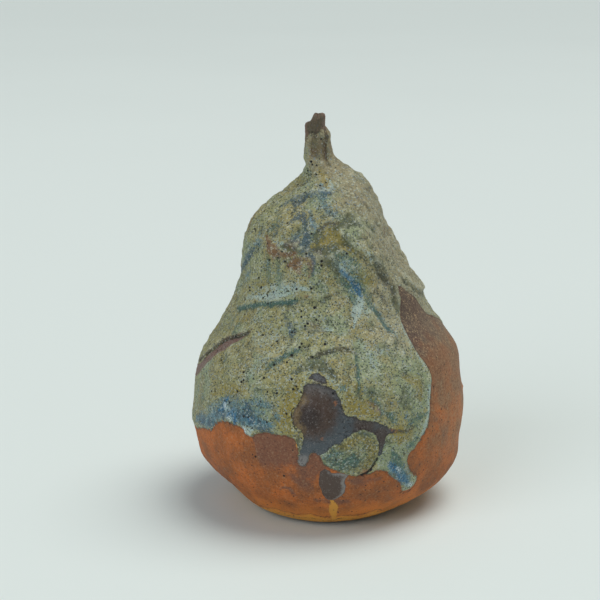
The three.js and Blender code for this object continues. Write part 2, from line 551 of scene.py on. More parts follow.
# Folds of the clay wall: kind, depth, width and fade in mm, and the path. A step is raised on the left of
# the way its path runs, steep on that line; a ridge or a groove (depth below 0) runs along its path.
folds = [
    # the thick fold down the front, and the hollow along it
    ("step", 1.3, 0.9, 12, [(3, 109), (8, 106), (12, 103.2), (19, 101), (26.5, 98.9), (33, 95.8),
                            (38, 92.7), (44, 89.6), (48, 86), (46.5, 80.5), (43, 75)]),
    ("groove", -0.4, 2.8, 0, [(30, 95.6), (36, 92), (41, 89), (45, 85.6), (45, 81)]),
    ("step", 0.85, 0.8, 9, [(-76, 74.6), (-66, 76), (-59, 77.4), (-51, 79), (-40, 80.3), (-33, 81.4),
                            (-25.5, 82.2), (-20, 83.3), (-13, 84.6), (-6.5, 83.6), (-1, 84.7),
                            (6, 86.2), (14, 87.4)]),
    ("step", 0.6, 0.8, 7, [(-34, 57), (-24, 63.8), (-19, 66.3), (-14, 68.2), (-8, 71), (-2, 73)]),
    # over the ochre hollow, and the hollow
    ("step", 0.6, 0.5, 5, [(-16, 103), (-10, 106.5), (-4, 108), (1, 109), (7, 108.6), (12, 108.8),
                           (18, 111), (26, 113)]),
    ("groove", -0.6, 4.2, 0, [(-8, 103), (-1, 104.6), (5, 104), (10, 102)]),
    ("step", 0.75, 0.7, 8, [(-10, 65), (-4, 67), (3, 68.2), (9, 68.2), (14, 67)]),
    ("groove", -0.5, 0.7, 0, [(13.4, 70), (13.8, 66), (13.3, 61.6), (13, 57.5), (13.4, 53), (16, 50)]),
    ("step", 0.4, 0.8, 8, [(14, 72.5), (17.5, 71.5), (24, 69.5), (29, 68), (35, 68.4), (41, 70)]),
    # the lip on the right
    ("step", 1.2, 0.5, 6, [(56, 89), (66, 84), (74, 81), (82, 79.8), (92, 79), (102, 79.6)]),
    # the right shoulder, creased down to the right
    ("ridge", 0.9, 2.6, 0, [(56, 124), (64, 123), (76, 122), (92, 121.6), (110, 122)]),
    ("groove", -0.8, 1.3, 0, [(60, 118.2), (72, 117.6), (86, 117.4), (100, 118)]),
    ("step", 0.7, 0.7, 6, [(24, 119), (32, 115), (40, 108), (48, 101.6), (58, 95)]),
    ("ridge", 0.5, 0.9, 0, [(40, 118), (48, 112), (56, 105), (63, 98), (70, 92)]),
    ("ridge", 0.45, 0.7, 0, [(56, 116), (64, 108.5), (71, 101), (78, 95)]),
    ("ridge", 0.45, 0.8, 0, [(14, 117), (22, 112.5), (30, 107.6), (38, 101)]),
    ("ridge", 0.45, 0.7, 0, [(22, 108), (29, 104.6), (36, 100.6), (43, 96.6)]),
    ("ridge", 0.4, 0.7, 0, [(50, 96), (57, 91.6), (62, 87)]),
    ("ridge", 0.4, 0.8, 0, [(8, 123), (16, 120), (26, 117.6), (34, 116)]),
    # under the stem, and down the front of the neck
    ("step", 0.7, 1.0, 8, [(-56, 113), (-48, 114), (-40, 115.2), (-30, 116.6), (-20, 117.4),
                           (-4, 117.6), (10, 117.4)]),
    ("groove", -0.5, 1.2, 0, [(1, 97.5), (7, 94), (13, 91), (17.5, 88.7), (19.5, 86.6), (22.3, 84)]),
    ("groove", -0.5, 1.0, 0, [(22.3, 84), (19, 82), (16.4, 79), (14.7, 75)]),
    ("groove", -0.5, 1.1, 0, [(22.3, 84), (27, 82), (31, 78), (34, 74.5), (38, 70.5)]),
    ("step", 0.7, 1.2, 6, [(-95, 85), (-85, 88), (-76, 91), (-68, 95), (-61, 98.6), (-57, 100.4)]),
    ("groove", -0.3, 1.4, 0, [(-27.5, 112.5), (-24.5, 110), (-17, 107), (-15.5, 104.5), (-16, 102.5),
                              (-12.5, 100), (-9.8, 97), (-10, 91)]),
    ("ridge", 0.5, 1.7, 0, [(-57, 102), (-44.5, 99.7), (-36.5, 98.7), (-26.5, 99.3), (-19.5, 100.8)]),
    # finger marks over the neck and belly
    ("ridge", 0.55, 2.2, 0, [(-40, 60), (-31.5, 64.4), (-26.5, 67.4), (-20, 71)]),
    ("ridge", 0.6, 2.2, 0, [(-2, 76), (6, 78.5), (14, 80)]),
    ("groove", -0.5, 1.6, 0, [(-12, 79), (-6, 76.4), (0, 73), (6, 72.6)]),
    ("groove", -0.5, 1.6, 0, [(18, 63.4), (24, 61.6), (29, 59), (36, 58), (42, 60)]),
    ("ridge", 0.5, 1.8, 0, [(17, 56), (24, 55.6), (31, 53), (37, 49)]),
    ("groove", -0.5, 1.6, 0, [(-56, 73), (-48, 74.6), (-40, 73.4), (-34, 70)]),
    ("ridge", 0.5, 1.8, 0, [(-30, 92), (-28, 88), (-24, 85.6)]),
    ("ridge", 0.5, 1.8, 0, [(-56, 95), (-52, 91), (-50, 86)]),
    ("ridge", 0.5, 2.0, 0, [(-44, 112), (-36, 108.4), (-30, 104)]),
    ("groove", -0.5, 1.4, 0, [(26, 79), (32, 84), (37, 86)]),
    ("ridge", 0.5, 1.8, 0, [(25, 76), (29, 72), (34, 66), (40, 62)]),
    # the split on the left, and the flap of clay under it
    ("groove", -1.1, 0.5, 0, [(-47, 70.2), (-54, 67.8), (-60, 66.2), (-68, 63.6), (-76, 58.8),
                              (-84, 54), (-94, 50)]),
    ("step", 0.8, 0.5, 5, [(-93, 49), (-84, 53), (-76, 58), (-68, 62.9), (-60, 65.6), (-54, 67.2),
                           (-47.5, 69.7)]),
    ("step", 1.0, 0.4, 7, [(-75.5, 31), (-76.5, 26), (-78.5, 20), (-81, 17.6)]),
    ("groove", -0.8, 0.5, 0, [(-75, 31), (-76, 26), (-78, 20), (-80.5, 17.6)]),
    # a crumb of clay on the right, and the crevice beside the lobe
    ("ridge", 0.4, 0.8, 0, [(88, 42.6), (92, 42)]),
    ("groove", -0.8, 0.5, 0, [(11.5, 24.6), (15, 25.2), (17.6, 26.8), (19.4, 29.5), (20.6, 32.5)]),
    # round the back
    ("step", 1.0, 1.0, 9, [(160, 92), (172, 97), (-176, 99), (-162, 96), (-150, 90)]),
    ("step", 0.9, 0.9, 8, [(104, 84), (116, 91), (130, 95), (142, 92), (152, 86)]),
    ("groove", -0.7, 1.4, 0, [(-172, 78), (-160, 74), (-146, 72), (-132, 75), (-120, 80)]),
    ("groove", -0.6, 1.3, 0, [(120, 74), (134, 70), (150, 71), (166, 68)]),
    ("step", 0.8, 0.9, 7, [(-150, 108), (-138, 104), (-126, 98), (-116, 90), (-110, 82)]),
    ("ridge", 0.7, 1.8, 0, [(140, 112), (152, 108), (166, 106), (178, 108)]),
    ("groove", -0.6, 1.2, 0, [(-142, 62), (-130, 58), (-118, 57), (-106, 60)]),
    # the stem
    ("groove", -0.7, 0.7, 0, [(-30, 139), (-24, 135), (-26, 131), (-18, 127)]),
    ("groove", -0.7, 0.6, 0, [(52, 138), (46, 134), (44, 130), (40, 126)]),
    ("ridge", 0.5, 0.7, 0, [(10, 136), (14, 131), (12, 126), (8, 121)]),
    ("groove", -0.6, 0.7, 0, [(160, 137), (166, 131), (160, 125)]),
    ("groove", -0.6, 0.7, 0, [(-120, 138), (-116, 131), (-122, 125)]),
]

relief = {  # in mm
    "stepGroove": 0.28,  # depth of the groove at a step's foot, as a share of the step
    "glazeThickness": 0.4,
    "glazeBead": 0.12,  # the run glaze is thickest just inside its edge
    "slateSink": 0.3,
    "dripSwell": 0.6,
    "lobeSwell": 0.9,
    "crumple": 0.4,  # broad crumpling of the glazed wall
    "crumpleSize": 10,
    "wrinkle": 0.46,
    "wrinkleSize": 4.2,
    "vein": 0.3,  # thin raised lines
    "veinSize": 3.8,
    "slant": 0.55,  # wrinkles of the right shoulder
    "crinkle": 0.14,
    "crinkleSize": 1.6,
    "clayUnevenness": 0.35,
    "clayUnevennessSize": 24,
    "stemFlute": 0.25,
}


def foldLift():
    lift = np.zeros(heights.shape)
    for kind, depth, width, fade, path in folds:
        distance, side, along, length = nearPath(path, max(3 * width, 3 * fade))
        strength = depth * taper(along, length, 6 * width)
        if kind == "step":
            out = distance * side
            shape = (0.5 + 0.5 * np.tanh(out / width)) * np.exp(-np.maximum(out, 0) / fade)
            shape *= smoothStep(0, width, 3 * fade - distance)
            foot = np.exp(-(((out / width + 1.3) / 1.3) ** 2))
            lift += strength * (shape - relief["stepGroove"] * foot)
        else:
            lift += strength * np.exp(-((distance / width) ** 2))
    return lift


def noiseAt(spots, kind, octaves):  # about 0
    if kind == "ridged":
        values = [noise.ridged_multi_fractal(Vector(spot), 1.0, 2.1, octaves, 1.0, 2.0) for spot in spots]
    else:
        values = [noise.fractal(Vector(spot), 0.8, 2.1, octaves) for spot in spots]
    values = np.array(values)
    return (values - values.mean()).reshape(heights.shape)


def noiseOver(size, kind, seed, octaves=4, tall=1.0):
    shift = np.array([seed * 7.3, seed * 3.1, seed * 5.7])
    return noiseAt(flatSkin / (size, size, size * tall) + shift, kind, octaves)


def slantedWrinkles():
    # thin folds of the right shoulder, running down to the right
    arc = np.radians(azimuths) * np.hypot(skin[..., 0], skin[..., 1])
    spots = np.stack([(arc + heights) / 2.6, (arc - heights) / 11, arc * 0 + 3.3], axis=2).reshape(-1, 3)
    level = smoothStep(84, 94, heights) * smoothStep(124, 116, heights)
    side = smoothStep(14, 30, azimuths) * smoothStep(130, 100, azimuths)
    return noiseAt(spots, "ridged", 2) * level * side


def sculpt():
    inGlaze = smoothStep(-0.3, 1.0, glaze)
    upper = smoothStep(32, 60, heights) * smoothStep(-4, 6, glaze)
    lift = foldLift() * smoothStep(0.5, 4, heights)
    lift += upper * relief["crumple"] * noiseOver(relief["crumpleSize"], "ridged", 1, 3, 1.3)
    lift += (0.2 + 0.8 * upper) * relief["wrinkle"] * noiseOver(relief["wrinkleSize"], "soft", 2, 4, 1.5)
    lift += upper * relief["vein"] * noiseOver(relief["veinSize"], "ridged", 4, 2, 2.0)
    lift += relief["slant"] * slantedWrinkles()
    lift += (0.25 + 0.75 * inGlaze) * relief["crinkle"] * noiseOver(relief["crinkleSize"], "soft", 5, 2)
    lift += relief["clayUnevenness"] * noiseOver(relief["clayUnevennessSize"], "soft", 3, 2)
    bead = np.exp(-(((glaze - 1.5) / 1.2) ** 2)) * smoothStep(84, 60, heights)
    lift += relief["glazeThickness"] * inGlaze + relief["glazeBead"] * bead
    lift -= relief["slateSink"] * smoothStep(-0.4, 1.4, slate) * smoothStep(-1, 1, glaze)
    lift += relief["dripSwell"] * smoothStep(-0.1, 1.3, drip)
    lift += relief["lobeSwell"] * smoothStep(-0.5, 7, lobe)
    turn = np.radians(azimuths)
    onStem = smoothStep(122, 130, heights)
    lift *= 1 - 0.35 * onStem
    lift += onStem * relief["stemFlute"] * np.sin(4 * turn + heights * 0.21) * np.sin(0.5 + 2 * turn)
    return lift * smoothStep(0.0, 2.5, heights)


lift = sculpt()
carved = skin + normals * lift[..., None]


def blurred(field, passes):
    for _ in range(passes):
        field = 0.5 * field + 0.25 * (np.roll(field, 1, axis=1) + np.roll(field, -1, axis=1))
        ringed = np.concatenate([field[:1], field, field[-1:]])
        field = 0.5 * field + 0.25 * (ringed[:-2] + ringed[2:])
    return field


hollow = blurred(lift, 12) - lift  # above 0 in creases, below 0 on ridges, in mm
print("relief sculpted:", round(float(lift.min()), 2), "to", round(float(lift.max()), 2), "mm")

# Colour laid over the surface: half width in mm, strength and path of each stroke.
brushwork = {
    "navy": [
        (1.2, 0.9, [(-61, 98.5), (-68, 95), (-76, 91), (-85, 88), (-96, 85)]),
        (2.4, 0.8, [(-33, 108.6), (-28, 110.6), (-24, 110.4), (-19, 108.4)]),
        (1.5, 0.85, [(-20, 108), (-17, 106), (-16.6, 104), (-18.4, 101.6), (-14, 99.6), (-10.4, 97),
                     (-10, 92)]),
        (1.6, 0.7, [(-58, 112.5), (-50, 114.2), (-44, 115), (-38, 115.3), (-30, 116.6), (-20, 117.4),
                    (-4, 117.7), (8, 118)]),
        (1.8, 0.8, [(-44, 114.4), (-38, 114.6), (-31, 115.6)]),
        (1.4, 0.6, [(-46, 107.5), (-44, 105), (-45.5, 102.6)]),
        (1.8, 0.6, [(-31, 101.4), (-25, 102.6), (-19, 102.4)]),
        (2.2, 0.8, [(-36, 48.4), (-34.6, 46), (-33.8, 43.6), (-33.6, 41.8)]),
        (1.5, 0.8, [(-68, 33.6), (-65.6, 35.4), (-65, 38)]),
        (1.8, 0.9, [(-60.6, 36), (-57, 37.4)]),
        (1.2, 0.8, [(-51, 43), (-48.4, 41), (-46, 44)]),
        (1.6, 0.6, [(-26, 78), (-23, 76), (-20, 73.4), (-18.6, 70)]),
        (1.2, 0.6, [(-48, 49.6), (-47.4, 47)]),
        (0.9, 0.8, [(-31, 40.4), (-27, 40.2), (-21, 39.4)]),
        (2.0, 0.7, [(150, 100), (160, 96), (168, 90)]),
        (2.4, 0.7, [(-166, 44), (-160, 36), (-154, 31)]),
        (2.2, 0.7, [(131, 49), (136, 44), (140, 41)]),
    ],
    "teal": [
        (0.9, 1.0, [(-72, 75), (-66, 75.8), (-59, 77.2), (-51, 78.8), (-40, 80.1), (-33, 81.2),
                    (-25, 82), (-19, 83.2)]),
        (0.6, 0.8, [(13.8, 67), (13.6, 62), (13.2, 57.5), (13.1, 53.4)]),
        (0.9, 0.7, [(16, 53), (20.5, 50.6), (22.4, 47.4), (22, 44.6)]),
        (0.9, 0.8, [(24, 83), (27, 81), (31, 77.5), (34, 74), (38, 70.4)]),
        (2.4, 0.6, [(3, 99.4), (11, 98), (18, 96), (22, 94.6)]),
        (3.0, 0.5, [(14, 94), (19, 91), (23, 87), (27, 83.6)]),
        (2.0, 0.7, [(9, 90), (13.4, 88), (17, 85)]),
        (2.0, 0.6, [(4, 91.5), (8, 91), (12, 89.5)]),
        (2.4, 0.7, [(24.5, 46.6), (27, 44.6), (29, 43)]),
        (2.0, 0.7, [(45.5, 43.4), (40, 42.6), (36.4, 41.6), (33.5, 38.5)]),
        (3.0, 1.0, [(6.6, 30.8), (10.5, 30.8), (12, 31)]),
        (2.4, 0.7, [(0.6, 33), (4.4, 33.8)]),
        (1.8, 0.7, [(-1.6, 31.8), (3.4, 29.4), (8, 27.8)]),
        (1.8, 0.6, [(5.4, 57), (7.4, 55.4)]),
        (2.4, 0.8, [(27, 32), (29, 28.6), (32, 25.6)]),
        (1.6, 0.7, [(39, 35.6), (36, 33.4), (34.4, 31.6)]),
        (1.0, 0.8, [(-29, 60.6), (-24, 63.6), (-19, 66.1), (-13.6, 68)]),
        (2.2, 0.5, [(-47, 97), (-44, 92), (-42, 87)]),
        (2.0, 0.5, [(-36, 95), (-33, 90), (-32, 86)]),
        (1.3, 0.6, [(-60, 72), (-62, 66)]),
        (1.3, 0.5, [(-68, 73), (-70, 68)]),
        (1.6, 0.5, [(-66, 47), (-70, 41), (-71, 37)]),
        (1.6, 0.6, [(14.6, 84.4), (17, 81.4)]),
        (2.4, 0.5, [(-52, 104), (-49, 107), (-50, 110.6)]),
        (2.6, 0.6, [(118, 60), (124, 52)]),
        (2.6, 0.6, [(-176, 60), (-168, 52)]),
    ],
    "pool": [
        (4.2, 0.9, [(-74, 34.5), (-69, 35.6), (-60, 36), (-52, 41), (-44, 44.4), (-36, 43.6), (-28, 43),
                    (-24, 42.6)]),
        (3.0, 0.6, [(-38, 48.6), (-30, 49), (-22, 48.4)]),
        (2.2, 0.7, [(-21.4, 46.6), (-20.4, 44.8)]),
        (2.8, 1.0, [(26, 28), (29, 24.6), (34, 20.8), (37.6, 17)]),
        (3.8, 0.6, [(-7, 120), (-2, 113.6), (4, 111), (9, 112)]),
        (2.2, 0.6, [(-30, 102), (-24, 104.6), (-21, 107)]),
        (2.2, 0.6, [(-17, 112.4), (-13, 108), (-11, 105.6)]),
        (2.6, 0.5, [(-62, 104), (-60, 100), (-70, 98)]),
        (1.8, 0.6, [(-75, 84), (-70, 87), (-64, 90)]),
        (3.0, 0.4, [(2, 96.6), (12, 93.6), (20, 90)]),
        (3.6, 0.7, [(-170, 50), (-161, 42), (-154, 34), (-148, 40), (-138, 46), (-124, 43)]),
        (3.2, 0.7, [(124, 55), (132, 49), (139, 43), (148, 50), (160, 51), (172, 47)]),
    ],
    "sky": [
        (2.3, 1.0, [(3, 98), (6, 96.4), (9, 94.4), (12, 92.4), (15.4, 90.4)]),
        (2.4, 0.85, [(21.4, 82.8), (20.6, 80.4), (18.6, 77.8)]),
        (1.2, 0.9, [(22, 84.6), (19.5, 83), (17.5, 80.5), (16, 78), (14.6, 74.6)]),
        (1.1, 0.6, [(29, 80), (33, 76), (36, 72.6), (39, 70)]),
        (1.5, 1.0, [(-48.4, 46.6), (-47, 44.6), (-45.6, 42.6), (-43, 41.6)]),
        (2.2, 1.0, [(-37.4, 38.8), (-34.8, 38.6), (-31.6, 40.4)]),
        (2.5, 0.7, [(-62, 79.6), (-52, 81.6), (-43, 82.8), (-36.5, 83.8), (-28.5, 86.2), (-20, 87),
                    (-13, 87.2)]),
        (2.2, 0.5, [(-42, 102), (-34, 101.8), (-28, 102.8)]),
        (1.7, 0.3, [(-42, 54.6), (-36, 59), (-30, 63), (-25, 66.4), (-19, 70)]),
        (0.5, 0.6, [(-10, 58.6), (-8.6, 61.2), (-5.4, 62.1), (-2, 61.4), (0.4, 59.6), (4, 57.4),
                    (6.4, 56)]),
        (0.7, 0.9, [(40.4, 34), (42.8, 37.4), (44.6, 40.6), (45.8, 43.2), (47, 47), (48.2, 51),
                    (49.4, 54)]),
        (0.7, 0.6, [(49.2, 57.6), (47.4, 61), (46, 65), (44.9, 70), (45, 75)]),
        (1.4, 0.6, [(-23, 117.6), (-10, 118.4), (4, 119), (9, 121.6)]),
        (1.6, 0.6, [(34, 19.6), (37, 17.6), (39.4, 16.6)]),
        (1.2, 0.5, [(28.6, 26), (31.6, 23.4)]),
        # painted highlights along the crest of the thick fold down the front
        (0.9, 0.5, [(10, 106.6), (13, 104), (17, 102), (21, 101.4)]),
        (1.0, 0.5, [(23, 100.4), (27, 99.4), (32, 97), (36, 94.4)]),
        (4.5, 0.32, [(-40, 68), (-32, 70), (-25, 74.6)]),
        (2.2, 0.4, [(21, 66), (28, 66.6)]),
        (3.0, 0.4, [(-50, 74.6), (-44, 74.8)]),
        (3.0, 0.35, [(-27, 60), (-23, 62)]),
        (1.6, 0.5, [(-11, 71), (-5, 74.6), (2, 74)]),
        (1.8, 0.4, [(16, 70), (21, 66), (22, 60)]),
        (1.4, 0.5, [(-3, 36.4), (-1, 33), (2, 30.4)]),
        (2.6, 0.5, [(150, 78), (162, 82), (176, 83)]),
        (2.6, 0.5, [(-140, 88), (-126, 92), (-114, 91)]),
    ],
    "glint": [
        (0.7, 1.0, [(-49, 46.4), (-47.6, 44.2)]),
        (0.5, 0.9, [(-45.4, 42.4), (-44.4, 40.6)]),
        (1.1, 1.0, [(-37.4, 39), (-35.6, 38.6)]),
        (0.9, 0.9, [(37.6, 17.6), (39.8, 16.4)]),
        (0.7, 0.8, [(29.6, 25.6), (31.4, 23.6)]),
    ],
    "cobalt": [
        (1.6, 0.75, [(9, 93.4), (13, 91.6), (17.5, 88.9), (19.2, 87), (20.4, 85.2), (22, 84)]),
        (1.6, 0.9, [(-52, 42.6), (-49.6, 44), (-48.6, 46.6), (-47, 48)]),
        (1.8, 0.9, [(-46, 42), (-43, 43.4), (-41.6, 41.4), (-41.6, 39.6)]),
        (1.4, 0.6, [(-68, 34), (-66, 34.8)]),
        (1.7, 0.9, [(26, 28.4), (28, 25.8), (30.5, 23.7)]),
        (1.8, 0.9, [(30, 22.6), (33, 20.8), (36.4, 18.6)]),
        (0.9, 0.5, [(34.6, 45.4), (32.5, 43)]),
        (1.6, 0.5, [(-36, 44), (-32, 41.6)]),
        (1.6, 0.7, [(-157, 36), (-153, 31)]),
        (1.6, 0.7, [(136, 43), (140, 41)]),
    ],
    "ochre": [
        (3.4, 1.0, [(-11, 101.6), (-4, 103), (4, 103), (11, 101.4), (17, 99.8)]),
        (2.6, 1.0, [(-3, 106), (4, 106.4), (9, 104.4)]),
        (2.0, 1.0, [(4, 35.6), (9, 37), (13.6, 38.6)]),
        (1.8, 0.9, [(15.6, 28.6), (17.6, 33)]),
        (2.6, 0.4, [(-8, 111.6), (-3, 113)]),
        (3.2, 1.0, [(-12.8, 58), (-14, 53), (-16.8, 47.4), (-18, 42.8), (-14.4, 40)]),
        (3.4, 1.0, [(7.6, 57), (9, 53.4), (10.5, 49.6), (14, 47.8), (20, 46.6)]),
        (3.0, 0.5, [(5, 35), (10, 36.6), (15, 35)]),
        (2.0, 1.0, [(-16.4, 56), (-17.8, 50), (-18, 45), (-15.4, 41.4)]),
        (3.0, 0.4, [(1, 63.6), (6, 65.4), (11, 64), (11, 60)]),
        (2.4, 0.8, [(13, 50.6), (22, 51.4)]),
        (2.2, 0.9, [(9, 59), (12, 56.6), (14, 54)]),
        (1.8, 0.8, [(5.2, 51.6), (7, 49.4)]),
        (3.0, 0.8, [(11, 40), (16.5, 37), (17.6, 32), (15, 27.6)]),
        (3.8, 0.7, [(35, 58), (41, 54.6), (42, 49)]),
        (3.6, 0.6, [(-56, 86), (-48, 86.4), (-42, 88)]),
        (3.0, 0.5, [(-50, 98), (-46, 95), (-47, 91)]),
        (3.4, 0.8, [(20, 92.4), (26, 90), (32, 88)]),
        (3.4, 0.4, [(-72, 61), (-66, 59), (-60, 56), (-52, 56)]),
        (3.4, 0.5, [(-66, 71.6), (-58, 73.4), (-52, 74.6)]),
        (3.4, 0.6, [(-60, 46), (-54, 49), (-46, 51), (-38, 53)]),
        (2.4, 0.7, [(-3, 125), (0, 121.6), (2.6, 118)]),
        (2.6, 0.5, [(28, 36.4), (33, 37), (38, 40)]),
        (2.0, 0.8, [(24, 41), (28, 39), (31, 39.4), (30, 35)]),
        (2.6, 0.6, [(23, 67), (27, 64), (30, 62.6)]),
        (4.5, 0.7, [(-170, 70), (-156, 66), (-140, 60)]),
        (4.5, 0.7, [(104, 78), (116, 72), (124, 64)]),
        (4.5, 0.6, [(-110, 70), (-100, 64), (-96, 58)]),
        (4.5, 0.5, [(140, 88), (156, 84), (170, 86)]),
    ],
    "olive": [
        (3.6, 1.0, [(-9, 100.4), (-4, 99.4), (1, 96.8), (6, 93)]),
        (2.2, 0.9, [(-8, 106.4), (-8, 102)]),
        (3.4, 0.9, [(7, 107.4), (18, 108.8), (26, 107.6)]),
        (2.4, 0.8, [(12, 104.2), (18, 101.2)]),
        (2.0, 0.6, [(15, 54.8), (23, 53)]),
        (1.4, 0.8, [(28, 24), (31, 21.6)]),
        (1.8, 0.7, [(-25, 107), (-20, 105.6)]),
        (2.2, 0.5, [(20, 50), (28, 49.4)]),
        (2.2, 0.6, [(-6, 110.6), (2, 111)]),
        (1.8, 1.0, [(-34, 100.6), (-30, 101), (-25, 100.2), (-18, 99)]),
        (1.6, 0.8, [(11, 41.8), (17, 39.6)]),
        (1.8, 0.7, [(23, 38), (27, 35.6)]),
        (2.4, 0.8, [(-12, 74), (-5, 73.4)]),
        (2.4, 0.7, [(34, 126), (28, 131), (24, 135)]),
        (2.0, 0.9, [(3, 102.4), (8, 100)]),
        (3.6, 0.7, [(-10, 137.6), (0, 134), (-6, 130)]),
        (1.6, 0.6, [(-1.6, 32.6), (3, 31)]),
        (1.2, 0.9, [(-12, 40), (-11.4, 34)]),
        (2.6, 0.8, [(33, 97), (38, 94.6), (42, 92)]),
        (2.6, 0.8, [(48, 85), (47, 81), (45, 77)]),
        (2.8, 0.9, [(-15, 61), (-7, 63.4), (-1, 62.4), (3, 60)]),
        (2.8, 0.7, [(34, 54), (33, 50), (36, 46)]),
        (2.6, 0.6, [(16, 90), (22, 86.4), (28, 84)]),
        (3.5, 0.6, [(-150, 92), (-140, 88), (-128, 86)]),
        (3.5, 0.6, [(108, 70), (118, 66), (128, 62)]),
    ],
    "rust": [
        (1.9, 1.0, [(-52, 103), (-48, 101.2), (-44, 99.4), (-39.5, 98.4), (-31.5, 98), (-23, 99)]),
        (2.6, 0.85, [(-27, 94.6), (-22, 95.6), (-19, 93.4)]),
        (1.4, 0.6, [(-19, 97.6), (-14, 96.8), (-12, 94.6), (-12.6, 91)]),
        (1.0, 0.7, [(-70, 62.8), (-64, 65.4), (-58, 67), (-51, 69.8)]),
        (1.0, 0.6, [(-15, 84.6), (-12, 84.8)]),
        (1.2, 0.5, [(16, 51.6), (20, 49), (22, 46.4)]),
        (2.4, 0.35, [(-90, 108), (-84, 103), (-80, 99)]),
        (2.0, 0.6, [(170, 102), (-178, 100), (-166, 101)]),
        (2.0, 0.5, [(-118, 104), (-106, 101)]),
    ],
    # dark brown: along the folds, the grooves, the top of the split and the stem's grooves these lines are
    # painted shade; elsewhere they are the glaze's own dark brown
    "umber": [
        (2.6, 0.5, [(35, 95), (38, 92.6), (43, 89.6), (45.6, 86), (45.6, 81)]),
        (1.8, 0.6, [(-32, 101), (-27, 101.4), (-22, 101)]),
        (2.2, 0.55, [(-9, 100.4), (-5, 99)]),
        (0.9, 0.8, [(-9, 58.3), (-4, 58.2), (0, 57.2)]),
        (1.2, 0.6, [(-12.4, 42), (-11.6, 38)]),
        (0.8, 0.4, [(12, 101.6), (19, 99.8), (26.5, 97.6)]),
        (0.6, 0.5, [(-3, 83.8), (-1, 84.3), (6, 85.8), (15, 87.4)]),
        (0.6, 0.7, [(-10, 106.3), (-4, 107.8), (1, 108.8), (7, 108.4), (12, 108.6)]),
        (0.9, 0.7, [(-9, 65), (-4, 66.6), (3, 67.8), (9, 67.8), (14, 66.8)]),
        (1.6, 0.6, [(58, 118), (68, 117), (78, 117.6)]),
        (0.8, 0.9, [(54, 139.6), (44, 136), (38, 132), (36, 127.6)]),
        (1.3, 0.7, [(-34, 132), (-22, 130.8), (-8, 131.6)]),
        (1.2, 0.7, [(-70, 141), (-74, 137), (-80, 130)]),
        (1.2, 0.6, [(-20, 138), (-10, 135.6)]),
        (0.6, 0.9, [(27, 39.9), (30, 39.3), (34, 39), (38, 39.8)]),
        (1.2, 0.5, [(-12, 76.6), (-6, 75), (0, 72.4)]),
        (1.1, 0.5, [(36, 118), (44, 112)]),
        (1.6, 0.5, [(31, 87), (36, 84), (39, 80)]),
        (0.8, 1.0, [(-46, 70.6), (-54, 67.9), (-60, 66.4), (-68, 63.8), (-76, 59), (-84, 54.2),
                    (-94, 50.6)]),
        (0.9, 1.0, [(-45.6, 71.4), (-47.4, 70), (-50, 69.4)]),
        (1.4, 0.6, [(106, 86), (118, 92), (130, 94.5), (150, 86)]),
        (1.4, 0.6, [(162, 92), (-176, 98.4), (-152, 90)]),
    ],
    "darkLinesAndShade": [  # near black: painted shade deep in the crevices where clay and glaze meet and along the flap's fold, a painted shadow under the glaze's drip on the right, and dark lines along the edge of the pooled glaze
        (0.4, 1.0, [(11.4, 24.4), (15, 24.9), (18, 26.4)]),
        (0.25, 0.9, [(17, 26), (19.6, 28.8), (20.8, 31.6)]),
        (0.5, 1.0, [(-75, 31), (-76.2, 26), (-78.3, 20), (-80.8, 17.8)]),
        (0.35, 0.7, [(20.6, 33), (21.2, 35.6), (20.6, 38.4)]),
        (0.35, 0.8, [(-13.6, 50), (-14.6, 48.2), (-14.8, 45.6), (-13.6, 42.8), (-12.2, 41.4)]),
        (0.6, 0.55, [(32.6, 16), (36, 13.7), (40, 13.5), (43, 15.6)]),
    ],
    "flash": [  # purple-brown where the flame touched bare clay
        (5.5, 0.9, [(-14, 31), (-9, 26), (-3, 29), (-1, 24)]),
        (2.6, 0.8, [(-5, 14), (2, 13.4), (9, 13.6)]),
        (3.0, 0.7, [(-16, 24), (-10, 21), (-6, 24)]),
        (0.6, 1.0, [(-22, 17.2), (-19.6, 18.6), (-17, 18), (-15.4, 16), (-13.6, 15.2)]),
        (2.4, 0.7, [(9, 22.6), (14, 22), (22, 22.4)]),
        (2.6, 0.5, [(50, 40), (58, 34), (62, 24)]),
        (2.0, 0.4, [(-66, 22), (-60, 19), (-52, 20)]),
        (5.0, 0.8, [(-160, 26), (-148, 24), (-140, 32)]),
        (5.0, 0.8, [(112, 40), (120, 30), (132, 26)]),
    ],
    "streak": [  # thin yellow runs
        (1.5, 1.0, [(1.4, 14.6), (2.6, 12), (3, 8), (3.2, 3)]),
        (0.6, 0.6, [(-13, 38), (-12.4, 34)]),
    ],
    "ember": [
        (1.2, 1.0, [(2.2, 51.6), (4, 51.2)]),
        (1.0, 0.8, [(-2.8, 39.4), (-2.4, 38)]),
        (1.4, 0.9, [(13.4, 25.6), (16.4, 26.8)]),
        (1.2, 0.8, [(26, 40.4), (29.4, 39.8)]),
    ],
}


def paint(strokes, seed):
    # each stroke thins at its ends and breaks up into streaks that run along it
    laid = np.zeros(heights.shape)
    for width, strength, path in strokes:
        distance, side, along, length = nearPath(path, 2.4 * width)
        near = np.nonzero(distance < 2.4 * width)
        slim = 0.35 + 0.65 * taper(along[near], length, 4 * width)
        across = distance[near] / (width * slim)
        wander = zip(along[near] * length / (4 * width) + seed, side[near] * across * 1.1 + 9 * seed)
        streaks = np.array([noise.fractal(Vector((u, v, seed)), 0.7, 2.1, 3) for u, v in wander])
        soft = smoothStep(1.9, 0.1, across + 0.7 * streaks)
        laid[near] = np.maximum(laid[near], strength * soft)
    return laid


layers = {name: paint(strokes, seed) for seed, (name, strokes) in enumerate(brushwork.items())}
flamed = smoothStep(-0.4, 0.5, flashPatch) * smoothStep(22, 32, heights)
layers["flash"] = np.maximum(layers["flash"], flamed)
layers.update(glazeEdge=glaze, slateEdge=slate, dripEdge=drip, gashEdge=gash, lobeEdge=lobe, hollow=hollow)
print("colour laid:", ", ".join(layers))


